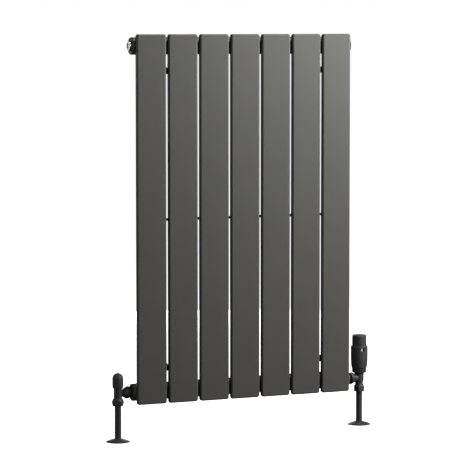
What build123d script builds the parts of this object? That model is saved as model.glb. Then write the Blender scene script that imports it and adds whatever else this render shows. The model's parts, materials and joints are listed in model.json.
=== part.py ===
from build123d import *
import os


# Flat-panel column radiator with its two angle valves, in millimetres.
#
# Seven flat hollow steel panels stand side by side in front of a top and a bottom header tube. The
# radiator hangs on four wall brackets. At the lower left a lockshield valve, and at the lower right a
# thermostatic valve, each stand on a 16 mm pipe that rises out of a floor collar.
#
# Frame: X to the right, Y into the wall, Z up. The wall is the plane Y = 0, the room is on its -Y
# side, and the origin is the centre of the four wall screws.

# ---------------------------------------------------------------- driving dimensions
panel_count = 7
panel_width = 76.5
panel_gap = 6.0
panel_height = 900.0
panel_depth = 11.0
panel_wall = 1.5
panel_corner = 6.0  # corner radius seen from the front
panel_edge = 4.0  # rounding of the front outline
panel_back_edge = 0.8  # rounding of the back outline

header_diameter = 42.4
header_wall = 2.0
header_inset = 28.5  # header axis from the panel ends
header_overhang = 6.0  # end cap beyond the outer panels
port_radius = 7.0  # waterway from header to panel

pipe_centre_from_wall = 55.0
valve_offset = 41.25  # valve axis beyond the outer panels
floor_drop = 91.0  # floor below the panels

strap_inset = 87.5  # hanging straps from the panel ends
rod_diameter = 7.0

pipe_radius = 8.0
pipe_wall = 1.0

# ---------------------------------------------------------------- derived places
pitch = panel_width + panel_gap
half_width = (panel_count * pitch - panel_gap) / 2
half_height = panel_height / 2
panel_x = [-half_width + panel_width / 2 + i * pitch for i in range(panel_count)]

header_y = -pipe_centre_from_wall
header_radius = header_diameter / 2
flat_depth = 2.7  # how far the header's front is pressed flat
header_flat_y = header_y - header_radius + flat_depth
panel_back_y = header_flat_y
panel_front_y = panel_back_y - panel_depth
header_z = half_height - header_inset
header_end_x = half_width + header_overhang

valve_x = half_width + valve_offset
arm_z = -header_z
floor_z = -half_height - floor_drop
pipe_foot = floor_z - arm_z  # floor level seen from a valve's own centre

bracket_x = half_width - panel_width - panel_gap / 2
bracket_z = half_height - strap_inset
corners = {
    "top_left": (-bracket_x, bracket_z),
    "top_right": (bracket_x, bracket_z),
    "bottom_left": (-bracket_x, -bracket_z),
    "bottom_right": (bracket_x, -bracket_z),
}

# ---------------------------------------------------------------- fits shared by mating pieces
slip = 0.1  # gap between a male and a female thread or spigot
end_bore = 9.5  # half-inch port in each header end cap
end_shank = end_bore - slip
waterway = 5.5
union_thread = 11.1
union_flats = 27.0
nut_thread = 10.85
nut_flats = 25.4
nut_height = 17.0
nut_floor = 4.0  # thickness of the compression nut's closed end
spigot_length = 7.5
olive_length = 5.3

arm_flare = (9.0, 17.6)  # where the valve body's arm widens, from the valve axis
arm_end = 24.0
nut_start = 17.9
nut_end = 31.6
tail_flange = 2.9
tail_end = 45.0
header_face = valve_offset - header_overhang

sides = {
    "lockshield": {"side": -1, "nut_top": -13.7, "nut_turn": -20, "arm": 7.5},
    "trv": {"side": 1, "nut_top": -17.8, "nut_turn": 0, "arm": 10.4},
}


# ---------------------------------------------------------------- drawing helpers
def section(x, z, inward):
    """Upright section plane through a fitting on the header line: local x runs along +-X, local y up."""
    return Plane(origin=(x, header_y, z), x_dir=(inward, 0, 0), z_dir=(0, -inward, 0))


def valve_plane(side):
    """Section plane of a valve, from its own centre towards the header."""
    return section(side * valve_x, arm_z, -side)


def wall_plane(x, z):
    """Section plane of a bracket: local x runs from the wall into the room, local y up."""
    return Plane(origin=(x, 0, z), x_dir=(0, -1, 0), z_dir=(-1, 0, 0))


def turn(plane, outline, upright=True, mode=Mode.ADD):
    """Turns a closed outline in the open BuildPart, about the plane's y when upright, else about its x."""
    with BuildSketch(plane) as profile:
        with BuildLine():
            Polyline(*outline, close=True)
        make_face()
    spin = Axis(plane.origin, plane.y_dir if upright else plane.x_dir)
    revolve(profile.sketch, axis=spin, mode=mode)


def bore(plane, radius, start, end, upright=True):
    """Drills a round hole along the plane's y when upright, else along its x."""
    outline = [(0, start), (radius, start), (radius, end), (0, end)]
    if not upright:
        outline = [(along, across) for across, along in outline]
    turn(plane, outline, upright, Mode.SUBTRACT)


def hexagon(plane, flats, length, mode=Mode.ADD):
    """Extrudes a hexagon bar from the plane along its normal."""
    with BuildSketch(plane) as profile:
        RegularPolygon(flats / 2, 6, major_radius=False)
    extrude(profile.sketch, amount=length, mode=mode)


def coil(plane_origin, radius, wire, height, turns):
    """Sweeps a spring's round wire up a helix in the open BuildPart."""
    with BuildLine(Plane(origin=plane_origin)) as path:
        Helix(pitch=height / turns, height=height, radius=radius)
    with BuildSketch(Plane(origin=path.line @ 0, z_dir=path.line % 0)) as ring:
        Circle(wire)
    sweep(ring.sketch, path=path.line, is_frenet=True)


def save(piece, name):
    """Labels a finished piece and writes its STEP file."""
    piece.label = name
    export_step(piece, f"parts/{name}.step")


os.makedirs("parts", exist_ok=True)


# ---------------------------------------------------------------- radiator
def make_panel(x):
    """Flat hollow panel with rounded corners and two ports in its back."""
    front = Plane(origin=(x, panel_front_y, 0), x_dir=(1, 0, 0), z_dir=(0, 1, 0))
    back = Plane(origin=(x, panel_back_y, 0), x_dir=(1, 0, 0), z_dir=(0, -1, 0))
    with BuildPart() as hollow:
        with BuildSketch(front.offset(panel_wall)):
            RectangleRounded(
                panel_width - 2 * panel_wall,
                panel_height - 2 * panel_wall,
                panel_corner - panel_wall,
            )
        extrude(amount=panel_depth - 2 * panel_wall)
        fillet(hollow.faces().sort_by(Axis.Y)[0].edges(), panel_edge - panel_wall)
    with BuildPart() as panel:
        with BuildSketch(front):
            RectangleRounded(panel_width, panel_height, panel_corner)
        extrude(amount=panel_depth)
        fillet(panel.faces().sort_by(Axis.Y)[0].edges(), panel_edge)
        fillet(panel.faces().sort_by(Axis.Y)[-1].edges(), panel_back_edge)
        add(hollow.part, mode=Mode.SUBTRACT)
        with BuildSketch(back):
            with Locations((0, header_z), (0, -header_z)):
                Circle(port_radius)
        extrude(amount=2 * panel_wall, mode=Mode.SUBTRACT)
    return panel.part


def make_header(z):
    """Round header tube whose front is pressed flat where the panels are welded on."""
    cut_depth = 10.0
    with BuildPart() as header:
        with BuildSketch(Plane.YZ.offset(-half_width)):
            with Locations((header_y, z)):
                Circle(header_radius)
        extrude(amount=2 * half_width)
        with BuildSketch(Plane.YZ.offset(-half_width)):
            with Locations((header_flat_y - cut_depth / 2, z)):
                Rectangle(cut_depth, header_diameter)
        extrude(amount=2 * half_width, mode=Mode.SUBTRACT)
        with BuildSketch(Plane.YZ.offset(-half_width)):
            with Locations((header_y, z)):
                Circle(header_radius - header_wall)
            with Locations((header_flat_y + header_wall - cut_depth / 2, z)):
                Rectangle(cut_depth, header_diameter, mode=Mode.SUBTRACT)
        extrude(amount=2 * half_width, mode=Mode.SUBTRACT)
        port_plane = Plane(origin=(0, header_flat_y, z), x_dir=(1, 0, 0), z_dir=(0, -1, 0))
        with BuildSketch(port_plane):
            with Locations(*[(x, 0) for x in panel_x]):
                Circle(port_radius)
        extrude(amount=-2 * header_wall, mode=Mode.SUBTRACT)
    return header.part


for index, x in enumerate(panel_x):
    save(make_panel(x), f"panel_{index + 1}")
save(make_header(header_z), "top_header")
save(make_header(-header_z), "bottom_header")

# A thick tapped cap is welded into each end of both headers.
cap_round = 2.0
with BuildPart() as header_end_caps:
    for side in (-1, 1):
        for z in (header_z, -header_z):
            cap_plane = section(side * half_width, z, side)
            turn(
                cap_plane,
                [
                    (0, end_bore),
                    (0, header_radius),
                    (header_overhang - cap_round, header_radius),
                    (header_overhang - 0.6, header_radius - 0.6),
                    (header_overhang, header_radius - cap_round),
                    (header_overhang, end_bore + 0.8),
                    (header_overhang - 0.8, end_bore),
                ],
                upright=False,
            )
save(header_end_caps.part, "header_end_caps")

# A thin rod behind the panels keeps their spacing at mid height.
rod_length = 2 * half_width - 30
with BuildPart() as spacer_rod:
    with BuildSketch(Plane.YZ.offset(-rod_length / 2)):
        with Locations((panel_back_y + rod_diameter / 2, 0)):
            Circle(rod_diameter / 2)
    extrude(amount=rod_length)
    chamfer(spacer_rod.faces().filter_by(Axis.X).edges(), 0.8)
save(spacer_rod.part, "spacer_rod")

# ---------------------------------------------------------------- hanging straps and wall brackets
strap_height = 12.0
strap_sheet = 2.5
strap_rise = 9.5
strap_foot_out = 28.0
strap_foot_in = 15.0
strap_crown = 12.5
with BuildPart() as hanging_straps:
    for x, z in corners.values():
        left_half = [
            (-strap_foot_out, 0),
            (-strap_foot_in, 0),
            (-strap_crown, strap_rise),
        ]
        outer_half = [
            (-strap_crown - strap_sheet + 0.5, strap_rise + strap_sheet),
            (-strap_foot_in - strap_sheet + 0.5, strap_sheet),
            (-strap_foot_out, strap_sheet),
        ]
        near = left_half + [(-px, py) for px, py in reversed(left_half)]
        far = [(-px, py) for px, py in reversed(outer_half)] + outer_half
        with BuildSketch(Plane.XY.offset(z - strap_height / 2)):
            with BuildLine():
                Polyline(*[(x + px, panel_back_y + py) for px, py in near + far], close=True)
            make_face()
        extrude(amount=strap_height)
save(hanging_straps.part, "hanging_straps")

screw_hole = 2.75
post_radius = 8.0
post_length = 36.0
sleeve_radius = 11.0
sleeve_start = 5.0
sleeve_end = 58.0
sleeve_front = 3.0
grub_place = 20.0
grub_radius = 2.4
hook_width = 18.0
hook_sheet = 3.0
hook_reach = 70.0
hook_floor = -strap_height / 2 - 0.05
hook_tip = 4.0


def make_post(x, z):
    """Wall post, screwed to the wall through its middle."""
    foot_radius = 14.0
    foot_sheet = 3.0
    with BuildPart() as post:
        turn(
            wall_plane(x, z),
            [
                (0, screw_hole),
                (0, foot_radius),
                (foot_sheet - 1, foot_radius),
                (foot_sheet, foot_radius - 1),
                (foot_sheet, post_radius),
                (post_length - 1, post_radius),
                (post_length, post_radius - 1),
                (post_length, 2 * screw_hole),
                (post_length - screw_hole, screw_hole),
            ],
            upright=False,
        )
    return post.part


def make_sleeve(x, z):
    """Sleeve that slides on the post and carries the upturned hook under a hanging strap."""
    plane = wall_plane(x, z)
    inside = post_radius + slip
    driver_hole = 4.5
    hook_start = sleeve_end - sleeve_front
    with BuildPart() as sleeve:
        turn(
            plane,
            [
                (sleeve_start, inside),
                (sleeve_start, sleeve_radius),
                (sleeve_end - 1, sleeve_radius),
                (sleeve_end, sleeve_radius - 1),
                (sleeve_end, driver_hole),
                (hook_start, driver_hole),
                (hook_start, inside),
            ],
            upright=False,
        )
        with Locations((x, -(hook_start + hook_reach) / 2, z + hook_floor - hook_sheet / 2)):
            Box(hook_width, hook_reach - hook_start, hook_sheet)
        tongue = hook_tip - hook_floor + hook_sheet
        with Locations((x, -hook_reach + hook_sheet / 2, z + hook_tip - tongue / 2)):
            Box(hook_width, hook_sheet, tongue)
        with BuildSketch(Plane(origin=(x, -grub_place, z), z_dir=(0, 0, -1))):
            Circle(grub_radius + slip)
        extrude(amount=2 * sleeve_radius, mode=Mode.SUBTRACT)
    return sleeve.part


for name, (x, z) in corners.items():
    save(make_post(x, z), f"bracket_post_{name}")
    save(make_sleeve(x, z), f"bracket_sleeve_{name}")

grub_length = 5.0
grub_socket = 2.5
with BuildPart() as bracket_grub_screws:
    for x, z in corners.values():
        top = Plane(origin=(x, -grub_place, z - post_radius - 0.05), z_dir=(0, 0, -1))
        with BuildSketch(top):
            Circle(grub_radius)
        extrude(amount=grub_length)
        hexagon(top.offset(grub_length - 2), grub_socket, 2, Mode.SUBTRACT)
save(bracket_grub_screws.part, "bracket_grub_screws")

# ---------------------------------------------------------------- air vent and blanking plug
ring_wire = 1.1
head_start = 2 * ring_wire
head_radius = 12.5
vent_end = 5.8  # outer face of the air vent's head, from the header end
blank_end = 4.2
dish_radius = 7.6
dish_depth = 1.4
socket_flats = 8.0
socket_depth = 6.0
shank_end = -13.0
key_bore = 4.4
needle_bore = 3.3
key_bore_end = -3.0


def make_plug(side, head_end, vented):
    """Half-inch plug with a dished round head, drilled for a bleed screw if vented."""
    plane = section(side * header_end_x, header_z, side)
    dish_x = side * (header_end_x + head_end - dish_depth)
    with BuildPart() as plug:
        turn(
            plane,
            [
                (shank_end, 0),
                (shank_end, end_shank - 1),
                (shank_end + 1, end_shank),
                (head_start, end_shank),
                (head_start, head_radius),
                (head_end - 0.9, head_radius),
                (head_end, head_radius - 0.9),
                (head_end, dish_radius + 0.6),
                (head_end - dish_depth, dish_radius),
                (head_end - dish_depth, 0),
            ],
            upright=False,
        )
        if vented:
            bore(plane, needle_bore, shank_end, key_bore_end, upright=False)
            bore(plane, key_bore, key_bore_end, 2 * head_end, upright=False)
        else:
            socket = Plane(origin=(dish_x, header_y, header_z), z_dir=(side, 0, 0))
            hexagon(socket, socket_flats, -socket_depth, Mode.SUBTRACT)
    return plug.part


save(make_plug(-1, vent_end, True), "vent_plug")
save(make_plug(1, blank_end, False), "blank_plug")

with BuildPart() as plug_o_rings:
    for side in (-1, 1):
        with Locations((side * (header_end_x + ring_wire), header_y, header_z)):
            Torus(end_bore + ring_wire, ring_wire, rotation=(0, 90, 0))
save(plug_o_rings.part, "plug_o_rings")

bleed_key = 5.0
needle = needle_bore - slip
with BuildPart() as bleed_screw:
    vent_plane = section(-header_end_x, header_z, -1)
    turn(
        vent_plane,
        [
            (shank_end - 0.5, 0),
            (shank_end + 1.5, needle),
            (key_bore_end, needle),
            (key_bore_end, 0),
        ],
        upright=False,
    )
    with BuildSketch(
        Plane(origin=(-header_end_x - key_bore_end, header_y, header_z), z_dir=(-1, 0, 0))
    ):
        Rectangle(bleed_key, bleed_key)
    extrude(amount=vent_end - dish_depth - key_bore_end)
save(bleed_screw.part, "bleed_screw")


# ---------------------------------------------------------------- pieces that both valves have
def make_tail(side):
    """Tailpiece from the valve's union into the header end."""
    key_flats = 12.5
    key_depth = 8.0
    with BuildPart() as tail:
        turn(
            valve_plane(side),
            [
                (arm_end + slip, waterway),
                (arm_end + slip, union_thread - 0.2),
                (arm_end + tail_flange, union_thread - 0.2),
                (arm_end + tail_flange, end_shank),
                (tail_end - 1, end_shank),
                (tail_end, end_shank - 1),
                (tail_end, waterway),
            ],
            upright=False,
        )
        mouth = Plane(origin=(side * (valve_x - tail_end), header_y, arm_z), z_dir=(side, 0, 0))
        hexagon(mouth, key_flats, key_depth, Mode.SUBTRACT)
    return tail.part


def make_union_nut(side):
    """Hexagon nut that draws the tailpiece against the valve arm."""
    plane = valve_plane(side)
    start = Plane(origin=(side * (valve_x - nut_start), header_y, arm_z), z_dir=(-side, 0, 0))
    corner = union_flats / 3**0.5
    length = nut_end - nut_start
    valve_bevel = 5.0
    tail_bevel = 1.6
    with BuildPart() as nut:
        hexagon(start.rotated((0, 0, 30)), union_flats, length)
        turn(
            plane,
            [
                (nut_start, 0),
                (nut_start, union_thread + 1.5),
                (nut_start + valve_bevel, corner),
                (nut_end - tail_bevel, corner),
                (nut_end, corner - 2 * tail_bevel),
                (nut_end, 0),
            ],
            upright=False,
            mode=Mode.INTERSECT,
        )
        lip_start = arm_end + tail_flange + slip
        bore(plane, union_thread + slip, nut_start, lip_start, upright=False)
        bore(plane, end_shank + slip, nut_start, nut_end, upright=False)
    return nut.part


def make_compression_nut(side, nut_top, nut_turn):
    """Hexagon nut that squeezes the olive onto the pipe, bevelled deeply at both ends."""
    plane = valve_plane(side)
    bottom = nut_top - nut_height
    corner = nut_flats / 3**0.5
    foot = Plane(origin=(side * valve_x, header_y, arm_z + bottom))
    with BuildPart() as nut:
        hexagon(foot.rotated((0, 0, nut_turn)), nut_flats, nut_height)
        turn(
            plane,
            [
                (0, bottom),
                (corner - 2, bottom),
                (corner, nut_top - 9),
                (corner, nut_top - 7),
                (corner - 2, nut_top - 2.2),
                (corner - 3, nut_top),
                (0, nut_top),
            ],
            mode=Mode.INTERSECT,
        )
        bore(plane, nut_thread + slip, bottom + nut_floor, nut_top)
        bore(plane, pipe_radius + 2 * slip, bottom, nut_top)
    return nut.part


def make_pipe(side, nut_top):
    """Pipe from the floor into the valve's socket."""
    with BuildPart() as pipe:
        turn(
            valve_plane(side),
            [
                (pipe_radius - pipe_wall, pipe_foot),
                (pipe_radius, pipe_foot),
                (pipe_radius, nut_top + 2),
                (pipe_radius - pipe_wall, nut_top + 2),
            ],
        )
    return pipe.part


def make_collar(side):
    """Domed floor collar, loose on the pipe."""
    plane = section(side * valve_x, floor_z, -side)
    reach = 29.2
    rim = 1.3
    neck = 10.8
    height = 7.8
    hole = pipe_radius + 0.4
    with BuildPart() as collar:
        with BuildSketch(plane):
            with BuildLine():
                Polyline((neck, height), (hole, height), (hole, 0), (reach, 0), (reach, rim))
                ThreePointArc((reach, rim), (20.6, 4.7), (neck, height))
            make_face()
        revolve(axis=Axis(plane.origin, plane.y_dir))
    return collar.part


for valve, fit in sides.items():
    side, nut_top = fit["side"], fit["nut_top"]
    save(make_tail(side), f"{valve}_tailpiece")
    save(make_union_nut(side), f"{valve}_union_nut")
    save(make_compression_nut(side, nut_top, fit["nut_turn"]), f"{valve}_compression_nut")
    save(make_pipe(side, nut_top), f"{valve}_pipe")
    save(make_collar(side), f"{valve}_floor_collar")

with BuildPart() as olives:
    for fit in sides.values():
        top = fit["nut_top"] - spigot_length - slip
        middle = top - olive_length / 2
        hole = pipe_radius + slip / 2
        turn(
            valve_plane(fit["side"]),
            [
                (hole, top),
                (hole + 0.3, top),
                (hole + 1.4, middle + 0.8),
                (hole + 1.4, middle - 0.8),
                (hole + 0.3, top - olive_length),
                (hole, top - olive_length),
            ],
        )
save(olives.part, "olives")

seal_sheet = 1.8
with BuildPart() as tail_seals:
    for fit in sides.values():
        turn(
            valve_plane(fit["side"]),
            [
                (header_face - seal_sheet, end_bore),
                (header_face - seal_sheet, end_bore + 2.7),
                (header_face, end_bore + 2.7),
                (header_face, end_bore),
            ],
            upright=False,
        )
save(tail_seals.part, "tail_seals")


def shape_body(plane, silhouette, fit, cuts):
    """Turned valve body with its union arm, drilled from below, above and along the arm."""
    arm = fit["arm"]
    turn(plane, silhouette)
    turn(
        plane,
        [
            (0, 0),
            (0, arm),
            (arm_flare[0], arm),
            (arm_flare[1], union_thread + 1.3),
            (nut_start - 0.1, union_thread + 1.3),
            (nut_start - 0.1, union_thread),
            (arm_end, union_thread),
            (arm_end, 0),
        ],
        upright=False,
    )
    for radius, start, end in cuts:
        bore(plane, radius, start, end)
    bore(plane, waterway, 0, arm_end, upright=False)
    mouth = fit["nut_top"] - spigot_length
    turn(
        plane,
        [(0, mouth), (pipe_radius + 1.1, mouth), (pipe_radius + slip, mouth + 1.5), (0, mouth + 1.5)],
        mode=Mode.SUBTRACT,
    )


# ---------------------------------------------------------------- lockshield valve
lock = sides["lockshield"]
lock_plane = valve_plane(lock["side"])
lock_centre = (lock["side"] * valve_x, header_y)
lock_radius = 10.1
lock_top = 12.4
lock_seat = -6.0
lock_chamber = 7.0
bonnet_foot = 7.0
bonnet_thread = 7.8
bonnet_hex = 18.0
bonnet_hex_top = 17.5
bonnet_boss = 8.0
bonnet_top = 28.0
spindle_radius = 3.5
swivel_radius = 2.5
spindle_top = 37.0

with BuildPart() as lockshield_body:
    spigot_foot = lock["nut_top"] - spigot_length
    shape_body(
        lock_plane,
        [
            (0, spigot_foot),
            (nut_thread, spigot_foot),
            (nut_thread, lock["nut_top"] - 0.7),
            (lock_radius, lock["nut_top"] + 0.5),
            (lock_radius, lock_top - 0.8),
            (lock_radius - 0.8, lock_top),
            (0, lock_top),
        ],
        lock,
        [
            (pipe_radius + slip, spigot_foot, lock["nut_top"] + 2.5),
            (waterway, spigot_foot, lock_seat),
            (lock_chamber, lock_seat, bonnet_foot),
            (bonnet_thread + slip / 2, bonnet_foot, lock_top),
        ],
    )
save(lockshield_body.part, "lockshield_body")

gland_groove = (21.0, 23.0)
gland_wire = 0.95
with BuildPart() as lockshield_bonnet:
    turn(lock_plane, [(0, bonnet_foot), (bonnet_thread, bonnet_foot), (bonnet_thread, lock_top), (0, lock_top)])
    hex_foot = Plane(origin=(*lock_centre, arm_z + lock_top))
    hexagon(hex_foot, bonnet_hex, bonnet_hex_top - lock_top)
    turn(
        lock_plane,
        [
            (0, bonnet_hex_top),
            (bonnet_boss, bonnet_hex_top),
            (bonnet_boss, bonnet_top - 0.8),
            (bonnet_boss - 0.8, bonnet_top),
            (0, bonnet_top),
        ],
    )
    bore(lock_plane, spindle_radius + 0.05, bonnet_foot, bonnet_top)
    bore(lock_plane, spindle_radius + 2 * gland_wire, *gland_groove)
save(lockshield_bonnet.part, "lockshield_bonnet")

with BuildPart() as lockshield_gland_ring:
    gland_level = arm_z + sum(gland_groove) / 2
    with Locations((*lock_centre, gland_level)):
        Torus(spindle_radius + gland_wire, gland_wire - 0.02)
save(lockshield_gland_ring.part, "lockshield_gland_ring")

washer_sheet = 1.5
jumper_foot = lock_seat + 1.6 + washer_sheet  # one turn open at rest
jumper_disc = 2.0
swivel_depth = 3.5
with BuildPart() as lockshield_jumper:
    socket_top = jumper_foot + jumper_disc + swivel_depth + 0.8
    turn(
        lock_plane,
        [
            (0, jumper_foot),
            (lock_chamber - 0.8, jumper_foot),
            (lock_chamber - 0.8, jumper_foot + jumper_disc),
            (swivel_radius + 1.8, jumper_foot + jumper_disc),
            (swivel_radius + 1.8, socket_top),
            (swivel_radius + slip, socket_top),
            (swivel_radius + slip, socket_top - swivel_depth),
            (0, socket_top - swivel_depth),
        ],
    )
save(lockshield_jumper.part, "lockshield_jumper")

with BuildPart() as lockshield_washer:
    turn(
        lock_plane,
        [
            (0, jumper_foot - washer_sheet),
            (waterway + 0.8, jumper_foot - washer_sheet),
            (waterway + 0.8, jumper_foot),
            (0, jumper_foot),
        ],
    )
save(lockshield_washer.part, "lockshield_washer")

spindle_square = 5.5
spindle_shoulder = 31.0
with BuildPart() as lockshield_spindle:
    turn(
        lock_plane,
        [
            (0, socket_top - swivel_depth + slip),
            (swivel_radius, socket_top - swivel_depth + slip),
            (swivel_radius, socket_top + slip),
            (spindle_radius, socket_top + slip),
            (spindle_radius, spindle_shoulder),
            (0, spindle_shoulder),
        ],
    )
    with BuildSketch(Plane(origin=(*lock_centre, arm_z + spindle_shoulder))):
        Rectangle(spindle_square, spindle_square)
    extrude(amount=spindle_top - spindle_shoulder)
save(lockshield_spindle.part, "lockshield_spindle")

cap_radius = 13.4
cap_foot = 12.3
cap_top = 49.6
cap_hex_room = 11.6
cap_boss_room = 8.3
cap_ceiling = 43.0
with BuildPart() as lockshield_cap:
    dome_foot = cap_top - cap_radius
    dome_mid = cap_radius * 0.5**0.5
    with BuildSketch(lock_plane):
        with BuildLine():
            Polyline(
                (0, cap_top),
                (0, cap_foot),
                (cap_radius - 1.2, cap_foot),
                (cap_radius - 0.6, cap_foot + 0.6),
                (cap_radius, cap_foot + 6),
                (cap_radius, dome_foot),
            )
            ThreePointArc((cap_radius, dome_foot), (dome_mid, dome_foot + dome_mid), (0, cap_top))
        make_face()
    revolve(axis=Axis(lock_plane.origin, lock_plane.y_dir))
    bore(lock_plane, cap_hex_room, cap_foot, bonnet_hex_top + 1.5)
    bore(lock_plane, cap_boss_room, cap_foot, cap_ceiling)
save(lockshield_cap.part, "lockshield_cap")

# ---------------------------------------------------------------- thermostatic valve, water side
trv = sides["trv"]
trv_plane = valve_plane(trv["side"])
trv_centre = (trv["side"] * valve_x, header_y)
trv_seat = -6.8
trv_top = 24.0
insert_foot = 5.0
insert_thread = 8.9
ring_thread = 14.0
stem_radius = 1.5
stem_top = 40.0
knob_travel = 1.7  # axial travel of the knob each way from mid setting

with BuildPart() as trv_body:
    spigot_foot = trv["nut_top"] - spigot_length
    shape_body(
        trv_plane,
        [
            (0, spigot_foot),
            (nut_thread, spigot_foot),
            (nut_thread, trv["nut_top"] - 0.7),
            (10.0, trv["nut_top"] + 0.2),
            (10.0, -9.0),
            (11.7, -7.5),
            (11.7, 8.0),
            (12.1, 8.6),
            (12.1, 15.8),
            (ring_thread, 16.4),
            (ring_thread, trv_top),
            (0, trv_top),
        ],
        trv,
        [
            (pipe_radius + slip, spigot_foot, trv["nut_top"] + 2.5),
            (waterway, spigot_foot, trv_seat),
            (8.2, trv_seat, insert_foot),
            (insert_thread + slip / 2, insert_foot, trv_top),
        ],
    )
save(trv_body.part, "trv_body")

insert_hex = 22.0
insert_top = 29.0
spring_room = 6.0
spring_floor = 8.0
spring_ceiling = 21.0
with BuildPart() as trv_insert:
    turn(trv_plane, [(0, insert_foot), (insert_thread, insert_foot), (insert_thread, trv_top), (0, trv_top)])
    hexagon(Plane(origin=(*trv_centre, arm_z + trv_top)), insert_hex, insert_top - trv_top)
    bore(trv_plane, spring_room, spring_floor, spring_ceiling)
    bore(trv_plane, stem_radius + slip, insert_foot, insert_top)
save(trv_insert.part, "trv_insert")

disc_foot = trv_seat + knob_travel + 0.1 + washer_sheet
disc_radius = 7.2
disc_sheet = 3.0
collar_foot = 17.0
collar_sheet = 1.5
with BuildPart() as trv_stem:
    turn(
        trv_plane,
        [
            (0, disc_foot),
            (disc_radius, disc_foot),
            (disc_radius, disc_foot + disc_sheet),
            (stem_radius, disc_foot + disc_sheet),
            (stem_radius, collar_foot),
            (spring_room - 0.8, collar_foot),
            (spring_room - 0.8, collar_foot + collar_sheet),
            (stem_radius, collar_foot + collar_sheet),
            (stem_radius, stem_top - 0.5),
            (stem_radius - 0.5, stem_top),
            (0, stem_top),
        ],
    )
save(trv_stem.part, "trv_stem")

with BuildPart() as trv_stem_washer:
    turn(
        trv_plane,
        [
            (0, disc_foot - washer_sheet),
            (disc_radius - 0.4, disc_foot - washer_sheet),
            (disc_radius - 0.4, disc_foot),
            (0, disc_foot),
        ],
    )
save(trv_stem_washer.part, "trv_stem_washer")

return_wire = 0.45
with BuildPart() as trv_return_spring:
    coil(
        (*trv_centre, arm_z + spring_floor + return_wire + 0.02),
        spring_room - 2.2,
        return_wire,
        collar_foot - spring_floor - 2 * return_wire - 0.04,
        5,
    )
save(trv_return_spring.part, "trv_return_spring")

# ---------------------------------------------------------------- thermostatic head
grip_radius = 18.1
skirt_radius = 17.3
head_top = 109.4
barrel_foot = 25.2
barrel_top = 81.2
ring_foot = 13.7
ring_radius = 18.0
ring_neck = 16.6
base_flange = (24.2, 26.0)
base_flange_radius = 15.2
base_hub = 14.0
base_top = 42.0
web = (27.9, 29.9)  # barrel's inner web, which sits on the head base

notch_count = 26
notch_depth = 1.3
notch_width = 2.0
with BuildPart() as trv_ring_nut:
    ring_lip = web[0] - 0.4
    turn(
        trv_plane,
        [
            (ring_thread + slip, ring_foot),
            (ring_radius - 0.8, ring_foot),
            (ring_radius, ring_foot + 0.8),
            (ring_radius, trv_top),
            (ring_neck, trv_top + 0.2),
            (ring_neck, ring_lip),
            (base_hub + 0.2, ring_lip),
            (base_hub + 0.2, base_flange[1] + slip),
            (base_flange_radius + slip, base_flange[1] + slip),
            (base_flange_radius + slip, trv_top + slip),
            (ring_thread + slip, trv_top + slip),
        ],
    )
    with BuildSketch(Plane(origin=(*trv_centre, arm_z + ring_foot))):
        with PolarLocations(ring_radius, notch_count):
            Rectangle(2 * notch_depth, notch_width)
    extrude(amount=trv_top - ring_foot - 1.6, mode=Mode.SUBTRACT)
save(trv_ring_nut.part, "trv_ring_nut")

with BuildPart() as trv_head_base:
    hex_room = insert_hex / 3**0.5 + 0.3
    turn(
        trv_plane,
        [
            (hex_room, base_flange[0]),
            (base_flange_radius, base_flange[0]),
            (base_flange_radius, base_flange[1]),
            (base_hub, base_flange[1]),
            (base_hub, base_top),
            (3.2, base_top),
            (3.2, insert_top + 2.5),
            (hex_room, insert_top + 1),
        ],
    )
save(trv_head_base.part, "trv_head_base")

window_width = 9.0
window_height = 9.6
window_middle = 73.2
with BuildPart() as trv_barrel:
    with BuildSketch(trv_plane):
        with BuildLine():
            ThreePointArc((18.7, barrel_foot), (19.3, barrel_foot + 1.0), (19.8, 28.6))
            ThreePointArc((19.8, 28.6), (20.8, 38.0), (21.4, 52.0))
            Line((21.4, 52.0), (21.4, barrel_top - 1.5))
            ThreePointArc((21.4, barrel_top - 1.5), (20.96, barrel_top - 0.44), (19.9, barrel_top))
            Polyline(
                (19.9, barrel_top),
                (grip_radius + 0.4, barrel_top),
                (grip_radius + 0.4, barrel_top - 2.6),
                (19.3, barrel_top - 3.3),
                (19.3, 50.0),
                (18.6, 38.0),
                (18.0, web[1]),
                (base_hub + slip, web[1]),
                (base_hub + slip, web[0]),
                (ring_neck + 0.4, web[0]),
                (ring_neck + 0.4, barrel_foot),
                (18.7, barrel_foot),
            )
        make_face()
    revolve(axis=Axis(trv_plane.origin, trv_plane.y_dir))
    front = Plane(
        origin=(trv_centre[0], trv_centre[1], arm_z + window_middle),
        x_dir=(1, 0, 0),
        z_dir=(0, -1, 0),
    )
    with BuildSketch(front.offset(grip_radius - 1)):
        RectangleRounded(window_width, window_height, 1.6)
    extrude(amount=8, mode=Mode.SUBTRACT)
save(trv_barrel.part, "trv_barrel")

scale_band = (59.0, 79.0)
knob_foot = 32.0
knob_thread_top = 40.0
knob_room = 16.0
knob_ceiling = 106.0
with BuildPart() as trv_knob:
    turn(
        trv_plane,
        [
            (base_hub + 0.3, knob_foot),
            (skirt_radius, knob_foot),
            (skirt_radius, scale_band[1] + 0.1),
            (grip_radius, scale_band[1] + 0.1),
            (grip_radius, head_top),
            (0, head_top),
            (0, knob_ceiling),
            (knob_room, knob_ceiling),
            (knob_room, knob_thread_top),
            (base_hub + 0.3, knob_thread_top),
        ],
    )
    rim = trv_knob.edges().filter_by(GeomType.CIRCLE).group_by(Axis.Z)[-1]
    fillet(rim, 2.6)
    with BuildSketch(Plane(origin=(*trv_centre, arm_z + head_top))):
        Circle(grip_radius - 4.6)
        Circle(grip_radius - 5.4, mode=Mode.SUBTRACT)
    extrude(amount=-0.6, mode=Mode.SUBTRACT)
save(trv_knob.part, "trv_knob")

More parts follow.
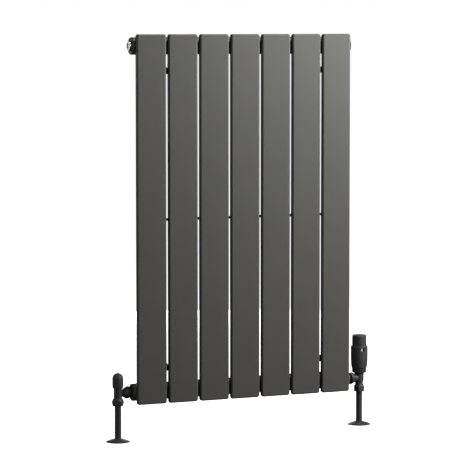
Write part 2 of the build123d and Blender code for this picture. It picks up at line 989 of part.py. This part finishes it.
with BuildPart() as trv_scale_ring:
    turn(
        trv_plane,
        [
            (skirt_radius + 0.02, scale_band[0]),
            (grip_radius, scale_band[0]),
            (grip_radius, scale_band[1]),
            (skirt_radius + 0.02, scale_band[1]),
        ],
    )
save(trv_scale_ring.part, "trv_scale_ring")

sensor_radius = 12.0
sensor_foot = 52.0
sensor_top = 92.0
sensor_rim = (60.0, 62.5)
with BuildPart() as trv_sensor:
    turn(
        trv_plane,
        [
            (0, sensor_foot),
            (sensor_radius - 1, sensor_foot),
            (sensor_radius, sensor_foot + 1),
            (sensor_radius, sensor_rim[0]),
            (knob_room - 0.3, sensor_rim[0]),
            (knob_room - 0.3, sensor_rim[1]),
            (sensor_radius, sensor_rim[1]),
            (sensor_radius, sensor_top - 2),
            (sensor_radius - 2, sensor_top),
            (0, sensor_top),
        ],
    )
save(trv_sensor.part, "trv_sensor")

push_pin_radius = 2.5
with BuildPart() as trv_push_pin:
    turn(
        trv_plane,
        [
            (0, stem_top + 0.02),
            (push_pin_radius - 0.6, stem_top + 0.02),
            (push_pin_radius, stem_top + 0.6),
            (push_pin_radius, sensor_foot),
            (0, sensor_foot),
        ],
    )
save(trv_push_pin.part, "trv_push_pin")

overtravel_wire = 0.8
with BuildPart() as trv_overtravel_spring:
    coil(
        (*trv_centre, arm_z + sensor_top + overtravel_wire + 0.02),
        sensor_radius - 3.5,
        overtravel_wire,
        knob_ceiling - sensor_top - 2 * overtravel_wire - 0.3,
        4,
    )
save(trv_overtravel_spring.part, "trv_overtravel_spring")
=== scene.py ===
import bpy
import bmesh
import json
from math import cos, pi, radians, sin
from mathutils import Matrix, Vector


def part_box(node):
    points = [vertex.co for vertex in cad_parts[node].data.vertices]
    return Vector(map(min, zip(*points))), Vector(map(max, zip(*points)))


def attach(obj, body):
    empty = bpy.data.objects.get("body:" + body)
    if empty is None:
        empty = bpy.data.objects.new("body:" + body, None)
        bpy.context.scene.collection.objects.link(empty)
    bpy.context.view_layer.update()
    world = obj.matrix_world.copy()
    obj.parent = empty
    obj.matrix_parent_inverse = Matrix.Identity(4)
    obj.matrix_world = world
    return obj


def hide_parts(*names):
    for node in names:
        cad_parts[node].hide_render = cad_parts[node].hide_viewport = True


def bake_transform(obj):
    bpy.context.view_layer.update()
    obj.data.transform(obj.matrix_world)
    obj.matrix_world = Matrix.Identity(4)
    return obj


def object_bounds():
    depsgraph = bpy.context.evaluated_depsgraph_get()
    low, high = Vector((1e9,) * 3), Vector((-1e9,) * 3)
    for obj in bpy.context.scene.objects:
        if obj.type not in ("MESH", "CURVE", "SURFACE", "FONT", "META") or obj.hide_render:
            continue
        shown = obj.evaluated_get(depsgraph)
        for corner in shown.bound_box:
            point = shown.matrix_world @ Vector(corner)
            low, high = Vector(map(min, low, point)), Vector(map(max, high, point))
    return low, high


# The radiator and its two valves, dressed for pictures: finishes for every CAD piece, the weld beads,
# the print on the thermostatic head, and a plain studio. Metres, in the frame of the CAD model.

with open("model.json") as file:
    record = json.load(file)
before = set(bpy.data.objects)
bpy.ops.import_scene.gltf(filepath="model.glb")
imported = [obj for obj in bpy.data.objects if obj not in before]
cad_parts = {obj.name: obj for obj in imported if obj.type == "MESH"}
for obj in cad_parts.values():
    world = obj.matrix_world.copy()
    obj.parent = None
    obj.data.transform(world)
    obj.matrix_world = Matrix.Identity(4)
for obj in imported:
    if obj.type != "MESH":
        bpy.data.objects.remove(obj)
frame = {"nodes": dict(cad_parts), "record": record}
cad_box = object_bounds()
nodes = frame["nodes"]
MM = 0.001


def centre_of(node):
    low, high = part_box(node)
    return (Vector(low) + Vector(high)) / 2


def size_of(node):
    low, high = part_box(node)
    return Vector(high) - Vector(low)


def put(name, data):
    """Makes an object and links it to the scene."""
    made = bpy.data.objects.new(name, data)
    bpy.context.scene.collection.objects.link(made)
    return made


# ---------------------------------------------------------------- node helpers
band_spacing = 0.3  # metres between a wave texture's bands at a scale of 1


class Finish:
    """A Principled material under construction, with its textures in object coordinates."""

    def __init__(self, name, colour, roughness, metallic=0.0):
        self.material = bpy.data.materials.new(name)
        self.material.use_nodes = True
        self.tree = self.material.node_tree
        self.tree.nodes.clear()
        self.shader = self.tree.nodes.new("ShaderNodeBsdfPrincipled")
        output = self.tree.nodes.new("ShaderNodeOutputMaterial")
        self.link(self.shader.outputs["BSDF"], output.inputs["Surface"])
        self.shader.inputs["Base Color"].default_value = (*colour, 1)
        self.shader.inputs["Roughness"].default_value = roughness
        self.shader.inputs["Metallic"].default_value = metallic
        self.place = self.tree.nodes.new("ShaderNodeTexCoord").outputs["Object"]
        self.height = None

    def link(self, source, target):
        self.tree.links.new(source, target)

    def noise(self, size, detail=2.0, stretch=(1, 1, 1)):
        """Noise whose grains are about size metres, drawn out along an axis by a small stretch factor."""
        mapping = self.tree.nodes.new("ShaderNodeMapping")
        mapping.inputs["Scale"].default_value = stretch
        self.link(self.place, mapping.inputs["Vector"])
        texture = self.tree.nodes.new("ShaderNodeTexNoise")
        texture.inputs["Scale"].default_value = 1 / size
        texture.inputs["Detail"].default_value = detail
        self.link(mapping.outputs["Vector"], texture.inputs["Vector"])
        return texture.outputs["Fac"]

    def pits(self, size):
        """Rounded cells of about size metres."""
        texture = self.tree.nodes.new("ShaderNodeTexVoronoi")
        texture.inputs["Scale"].default_value = 1 / size
        self.link(self.place, texture.inputs["Vector"])
        return texture.outputs["Distance"]

    def rings(self, size, axis):
        """Turning marks: fine bands across an axis, slightly uneven."""
        texture = self.tree.nodes.new("ShaderNodeTexWave")
        texture.wave_type = "BANDS"
        texture.bands_direction = axis
        texture.inputs["Scale"].default_value = band_spacing / size
        texture.inputs["Distortion"].default_value = 0.6
        texture.inputs["Detail"].default_value = 3
        self.link(self.place, texture.inputs["Vector"])
        return texture.outputs["Fac"]

    def spread(self, pattern, low, high):
        """Turns the middle of a pattern's values into a number between low and high."""
        ramp = self.tree.nodes.new("ShaderNodeMapRange")
        ramp.inputs["From Min"].default_value = 0.3
        ramp.inputs["From Max"].default_value = 0.7
        ramp.inputs["To Min"].default_value = low
        ramp.inputs["To Max"].default_value = high
        self.link(pattern, ramp.inputs["Value"])
        return ramp.outputs["Result"]

    def tint(self, pattern, dark, light):
        """Varies the colour between two shades."""
        mix = self.tree.nodes.new("ShaderNodeMix")
        mix.data_type = "RGBA"
        mix.inputs["A"].default_value = (*dark, 1)
        mix.inputs["B"].default_value = (*light, 1)
        self.link(self.spread(pattern, 0, 1), mix.inputs["Factor"])
        self.link(mix.outputs["Result"], self.shader.inputs["Base Color"])

    def sheen(self, pattern, low, high):
        """Varies the roughness between two values."""
        self.link(self.spread(pattern, low, high), self.shader.inputs["Roughness"])

    def relief(self, pattern, depth):
        """Adds a bump of that depth in metres, on top of earlier ones."""
        bump = self.tree.nodes.new("ShaderNodeBump")
        bump.inputs["Distance"].default_value = depth
        bump.inputs["Strength"].default_value = 1.0
        self.link(pattern, bump.inputs["Height"])
        if self.height is not None:
            self.link(self.height, bump.inputs["Normal"])
        self.height = bump.outputs["Normal"]
        self.link(self.height, self.shader.inputs["Normal"])

    def value(self, name, number):
        """Sets one of the shader's own sockets."""
        self.shader.inputs[name].default_value = number


def shade(colour, factor):
    return tuple(c * factor for c in colour)


# ---------------------------------------------------------------- finishes
def powder_coat(name, colour, roughness):
    """Satin powder coat: faint mottling, orange peel of about a millimetre and a fine grain."""
    finish = Finish(name, colour, roughness)
    finish.tint(finish.noise(90 * MM, 3), shade(colour, 0.97), shade(colour, 1.03))
    finish.sheen(finish.noise(14 * MM, 4), roughness - 0.03, roughness + 0.03)
    finish.relief(finish.noise(1.6 * MM, 1), 0.022 * MM)
    finish.relief(finish.noise(0.35 * MM, 2), 0.006 * MM)
    return finish


def valve_coat(name, colour, roughness):
    """Matt black coat sprayed on turned and forged brass."""
    finish = Finish(name, colour, roughness)
    finish.tint(finish.noise(9 * MM, 4), shade(colour, 0.8), shade(colour, 1.2))
    finish.sheen(finish.noise(4 * MM, 3), roughness - 0.06, roughness + 0.05)
    finish.relief(finish.noise(0.9 * MM, 2), 0.02 * MM)
    finish.relief(finish.pits(0.3 * MM), 0.008 * MM)
    return finish


def moulded_plastic(name, colour, roughness):
    """Black plastic with a spark-eroded texture."""
    finish = Finish(name, colour, roughness)
    finish.tint(finish.noise(6 * MM, 3), shade(colour, 0.85), shade(colour, 1.15))
    finish.sheen(finish.noise(2.5 * MM, 3), roughness - 0.05, roughness + 0.05)
    finish.relief(finish.pits(0.45 * MM), 0.03 * MM)
    finish.relief(finish.noise(0.18 * MM, 2), 0.012 * MM)
    return finish


def turned_metal(name, colour, roughness, axis):
    """Bare metal with turning marks across the axis and a little tarnish."""
    finish = Finish(name, colour, roughness, metallic=1.0)
    finish.tint(finish.noise(5 * MM, 4), shade(colour, 0.82), shade(colour, 1.05))
    finish.sheen(finish.noise(2 * MM, 4), roughness - 0.06, roughness + 0.1)
    finish.relief(finish.rings(0.35 * MM, axis), 0.012 * MM)
    return finish


def drawn_metal(name, colour, roughness, stretch):
    """Bare metal with fine lines drawn along the direction whose stretch factor is small."""
    finish = Finish(name, colour, roughness, metallic=1.0)
    finish.tint(finish.noise(3 * MM, 3, stretch), shade(colour, 0.85), shade(colour, 1.05))
    finish.sheen(finish.noise(0.8 * MM, 3, stretch), roughness - 0.06, roughness + 0.08)
    finish.relief(finish.noise(0.25 * MM, 2, stretch), 0.01 * MM)
    return finish


def seal_rubber(name, colour):
    """Dull rubber with a dusty bloom."""
    finish = Finish(name, colour, 0.8)
    finish.tint(finish.noise(1.5 * MM, 4), shade(colour, 0.7), shade(colour, 1.7))
    finish.relief(finish.noise(0.3 * MM, 3), 0.02 * MM)
    return finish


anthracite = (0.078, 0.0765, 0.0735)
black = (0.041, 0.0405, 0.04)
brass = (0.74, 0.52, 0.22)
steel = (0.58, 0.58, 0.57)
nickel = (0.72, 0.71, 0.69)
rubber = (0.018, 0.018, 0.018)

finishes = {
    "anthracite_paint": powder_coat("anthracite_powder_coat", anthracite, 0.42),
    "bracket_paint": powder_coat("bracket_powder_coat", anthracite, 0.5),
    "valve_black": valve_coat("valve_black_coat", black, 0.5),
    "pipe_black": valve_coat("pipe_black_coat", black, 0.46),
    "bright_nickel": turned_metal("bright_nickel_plate", nickel, 0.22, "X"),
    "black_plastic": moulded_plastic("black_moulded_plastic", black, 0.52),
    "scale_plastic": moulded_plastic("scale_plastic", black, 0.45),
    "bare_brass": turned_metal("turned_brass", brass, 0.3, "Z"),
    "zinc_steel": drawn_metal("zinc_plate", steel, 0.38, (1, 1, 0.2)),
    "stem_steel": drawn_metal("stem_steel", steel, 0.24, (1, 1, 0.1)),
    "spring_steel": drawn_metal("spring_wire", shade(steel, 0.8), 0.34, (0.3, 0.3, 1)),
    "sensor_metal": drawn_metal("sensor_capsule", (0.78, 0.78, 0.79), 0.3, (1, 1, 0.05)),
    "seal_rubber": seal_rubber("seal_rubber", rubber),
}

slot_of = {part["node"]: part["material_slot"] for part in frame["record"]["subparts"]}
for name, node in nodes.items():
    finish = finishes[slot_of[name]].material
    for slot in node.material_slots:
        slot.material = finish
    if not node.material_slots:
        node.data.materials.append(finish)


def add_piece(name, mesh, finish, body):
    """Puts a finished mesh in the scene, riding on a CAD body."""
    piece = put(name, mesh)
    mesh.materials.append(finish.material)
    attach(piece, body)


# ---------------------------------------------------------------- return spring
# A copy of the CAD spring, finished as spring wire, takes the place of the CAD part.
coil_mesh = nodes["trv_return_spring"].data.copy()
coil_mesh.transform(nodes["trv_return_spring"].matrix_world)
coil_mesh.materials.clear()
coil_mesh.materials.append(finishes["spring_steel"].material)
coil = put("return_spring_coil", coil_mesh)
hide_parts("trv_return_spring")
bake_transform(coil)

# ---------------------------------------------------------------- weld beads
bead_radius = 2.2 * MM
bead_ripple = 1.1 * MM
rows_per_ripple = 4
bead_sides = 7  # points round the bead's half circle
ripple_swell = 0.12
uneven_swell = 0.06  # a slower change of thickness along the bead
uneven_turn = 17
bead_tip = 0.25  # thickness at the ends, growing to full over the run-in
bead_run_in = 2 * bead_radius
bead_inset = 8 * MM  # bead's ends from the panel's sides
bead_rise = 0.6 * MM  # bead's axis beyond the edge of the header's flat
bead_clearance = 0.1 * MM  # bead's axis behind the panel's back


def bead(mesh, at, along, across, outward, length):
    """A half-round weld bead with its ripples, from at, along a direction, bulging between two others."""
    steps = round(length / (bead_ripple / rows_per_ripple))
    rows = []
    for i in range(steps + 1):
        t = i / steps
        ripples = ripple_swell * sin(2 * pi * t * length / bead_ripple)
        swell = 1 + ripples + uneven_swell * sin(uneven_turn * t)
        taper = min(1.0, bead_tip + min(t, 1 - t) * length / bead_run_in)
        radius = bead_radius * swell * taper
        ring = []
        for k in range(bead_sides):
            a = pi * k / (bead_sides - 1)
            offset = (across * cos(a) + outward * sin(a)) * radius
            ring.append(mesh.verts.new(at + along * (t * length) + offset))
        rows.append(ring)
    for near, far in zip(rows, rows[1:]):
        for k in range(bead_sides):
            mesh.faces.new((near[k - 1], near[k], far[k], far[k - 1]))
    mesh.faces.new(rows[0][::-1])
    mesh.faces.new(rows[-1])


panels = sorted(name for name in nodes if name.startswith("panel_"))
right, back, up = Vector((1, 0, 0)), Vector((0, 1, 0)), Vector((0, 0, 1))
joint_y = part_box(panels[0])[1][1]
welds = bmesh.new()
for header in ("top_header", "bottom_header"):
    header_radius = size_of(header).z / 2
    axis_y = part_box(header)[1][1] - header_radius
    flat_half = (header_radius**2 - (axis_y - joint_y) ** 2) ** 0.5
    for panel in panels:
        start_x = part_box(panel)[0][0] + bead_inset
        length = size_of(panel).x - 2 * bead_inset
        for sign in (-1, 1):
            level = centre_of(header).z + sign * (flat_half + bead_rise)
            at = Vector((start_x, joint_y + bead_clearance, level))
            bead(welds, at, right, up * sign, back, length)
weld_mesh = bpy.data.meshes.new("header_welds")
welds.to_mesh(weld_mesh)
welds.free()
for face in weld_mesh.polygons:
    face.use_smooth = True
add_piece("header_welds", weld_mesh, finishes["anthracite_paint"], "radiator")

# ---------------------------------------------------------------- print on the thermostatic head
white_ink = Finish("white_ink", (0.8, 0.8, 0.78), 0.5)
white_ink.tint(white_ink.noise(0.5 * MM, 3), (0.74, 0.74, 0.72), (0.84, 0.84, 0.82))
white_ink.relief(white_ink.noise(0.15 * MM, 2), 0.005 * MM)
red_ink = Finish("red_ink", (0.42, 0.01, 0.03), 0.5)
red_ink.tint(red_ink.noise(0.5 * MM, 3), (0.36, 0.008, 0.025), (0.46, 0.014, 0.035))
red_ink.relief(red_ink.noise(0.15 * MM, 2), 0.005 * MM)

ring_centre = centre_of("trv_scale_ring")
ring_radius = size_of("trv_scale_ring").x / 2
rim_to_print = 8 * MM
print_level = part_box("trv_barrel")[1][2] - rim_to_print
print_lift = 0.03 * MM  # ink above the surface
front_angle = -pi / 2
bar_columns = 8
text_size = 1.4  # font size for a numeral of height 1
numeral_height = 6.5 * MM
bar_size = (5.2 * MM, 7.6 * MM)
index_size = (1.3 * MM, 4.4 * MM)
index_angle = radians(-19)


def wrap(mesh, angle, radius):
    """Bends a flat print, drawn in XY, round the head at that angle, facing outwards."""
    for vertex in mesh.verts:
        turn = angle + vertex.co.x / radius
        depth = radius + print_lift + vertex.co.z
        vertex.co = Vector(
            (
                ring_centre.x + depth * cos(turn),
                ring_centre.y + depth * sin(turn),
                print_level + vertex.co.y,
            )
        )


def bar(width, height):
    """A flat print bar of several columns, so that it can be bent."""
    mesh = bmesh.new()
    bmesh.ops.create_grid(mesh, x_segments=bar_columns, y_segments=2, size=0.5)
    for vertex in mesh.verts:
        vertex.co.x *= width
        vertex.co.y *= height
    return mesh


def numeral(text, height):
    """A generic numeral as a flat mesh, centred."""
    curve = bpy.data.curves.new("numeral", "FONT")
    curve.body = text
    curve.size = height * text_size
    curve.align_x = "CENTER"
    curve.align_y = "CENTER"
    holder = put("numeral", curve)
    bpy.context.view_layer.update()
    depsgraph = bpy.context.evaluated_depsgraph_get()
    flat = bpy.data.meshes.new_from_object(holder.evaluated_get(depsgraph))
    bpy.data.objects.remove(holder)
    bpy.data.curves.remove(curve)
    mesh = bmesh.new()
    mesh.from_mesh(flat)
    bpy.data.meshes.remove(flat)
    bmesh.ops.triangulate(mesh, faces=mesh.faces)
    bmesh.ops.subdivide_edges(mesh, edges=mesh.edges, cuts=1)
    return mesh


def print_on(name, shapes, radius, finish, body):
    """One printed piece from several flat shapes, each at its own angle from the front."""
    whole = bpy.data.meshes.new(name)
    joined = bmesh.new()
    for shape, angle in shapes:
        wrap(shape, front_angle + angle, radius)
        part = bpy.data.meshes.new("print_part")
        shape.to_mesh(part)
        shape.free()
        joined.from_mesh(part)
        bpy.data.meshes.remove(part)
    joined.to_mesh(whole)
    joined.free()
    add_piece(name, whole, finish, body)


# Numerals are spread over the knob's whole turn, with a bar midway between each two.
knob_turn = 150  # degrees each way from mid setting
settings = 6
setting_step = 2 * knob_turn / (settings - 1)
print_lead = radians(-6)
steps = [radians(-knob_turn + setting_step * i) for i in range(settings)]
numbers = [(numeral(str(i), numeral_height), print_lead - turn) for i, turn in enumerate(steps)]
middles = [(bar(*bar_size), print_lead - turn - radians(setting_step / 2)) for turn in steps[:-1]]
print_on("scale_print", numbers + middles, ring_radius, white_ink, "trv_knob")

barrel_radius = size_of("trv_barrel").x / 2
print_on("index_mark", [(bar(*index_size), index_angle)], barrel_radius, red_ink, "radiator")

# ---------------------------------------------------------------- studio
floor_level = cad_box[0].z
floor_mesh = bpy.data.meshes.new("floor")
reach = 60.0
floor_corners = [(-reach, -reach), (reach, -reach), (reach, reach), (-reach, reach)]
floor_mesh.from_pydata([(x, y, floor_level) for x, y in floor_corners], [], [(0, 1, 2, 3)])
floor = put("floor", floor_mesh)
pale = Finish("pale_floor", (0.8, 0.8, 0.8), 0.9)
pale.tint(pale.noise(400 * MM, 2), (0.79, 0.79, 0.79), (0.81, 0.81, 0.81))
pale.value("Emission Color", (1, 1, 1, 1))
pale.value("Emission Strength", 1.0)
pale.value("Specular IOR Level", 0.0)
floor_mesh.materials.append(pale.material)
floor.visible_diffuse = False
floor.visible_glossy = False

# The camera sees a white world, which lights the object only faintly.
world = bpy.data.worlds.new("studio")
bpy.context.scene.world = world
world.use_nodes = True
world.node_tree.nodes.clear()
links = world.node_tree.links


def white_background(strength):
    """A plain white background of that strength."""
    background = world.node_tree.nodes.new("ShaderNodeBackground")
    background.inputs["Color"].default_value = (1, 1, 1, 1)
    background.inputs["Strength"].default_value = strength
    return background.outputs["Background"]


path = world.node_tree.nodes.new("ShaderNodeLightPath")
choice = world.node_tree.nodes.new("ShaderNodeMixShader")
output = world.node_tree.nodes.new("ShaderNodeOutputWorld")
links.new(path.outputs["Is Camera Ray"], choice.inputs["Fac"])
links.new(white_background(0.045), choice.inputs[1])
links.new(white_background(1.0), choice.inputs[2])
links.new(choice.outputs["Shader"], output.inputs["Surface"])


def softbox(name, place, aim, size, power):
    """A square area light at a place, turned to an aim; size in metres, power in watts."""
    lamp = bpy.data.lights.new(name, "AREA")
    lamp.size = size
    lamp.energy = power
    holder = put(name, lamp)
    holder.location = place
    holder.rotation_euler = (Vector(aim) - Vector(place)).to_track_quat("-Z", "Y").to_euler()
    holder.visible_camera = False


softbox("key", place=(0.6, -1.1, 0.65), aim=(0.1, -0.08, 0.15), size=0.6, power=4.3)
softbox("side", place=(1.6, -1.1, 0.55), aim=(0.0, -0.05, -0.1), size=1.0, power=40.0)
softbox("front_right", place=(2.0, -4.4, 2.0), aim=(0.0, -0.05, 0.0), size=2.0, power=37.0)
softbox("left", place=(-2.4, -0.25, 0.3), aim=(0.0, -0.05, -0.3), size=1.0, power=8.0)
softbox("top", place=(0.5, -0.2, 1.6), aim=(0.1, -0.05, 0.0), size=0.8, power=16.0)
softbox("rear", place=(0.7, 2.4, -0.1), aim=(0.0, -0.02, 0.0), size=1.0, power=20.0)
softbox("back_left", place=(-1.0, 1.8, 0.4), aim=(-0.3, -0.05, 0.42), size=0.5, power=1.0)

# ---------------------------------------------------------------- camera
yaw, pitch = radians(23.421), radians(4.45)
forward = Vector((sin(yaw) * cos(pitch), cos(yaw) * cos(pitch), -sin(pitch)))
camera_data = bpy.data.cameras.new("camera")
camera_data.sensor_width = 36.0
camera_data.lens = 183.4
camera_data.shift_y = -0.063
camera_data.clip_end = 100
camera = put("camera", camera_data)
camera.location = (-2.380, -5.527, 0.486)
camera.rotation_euler = forward.to_track_quat("-Z", "Y").to_euler()
bpy.context.scene.camera = camera

bpy.context.scene.view_settings.view_transform = "Standard"
bpy.context.scene.view_settings.look = "None"
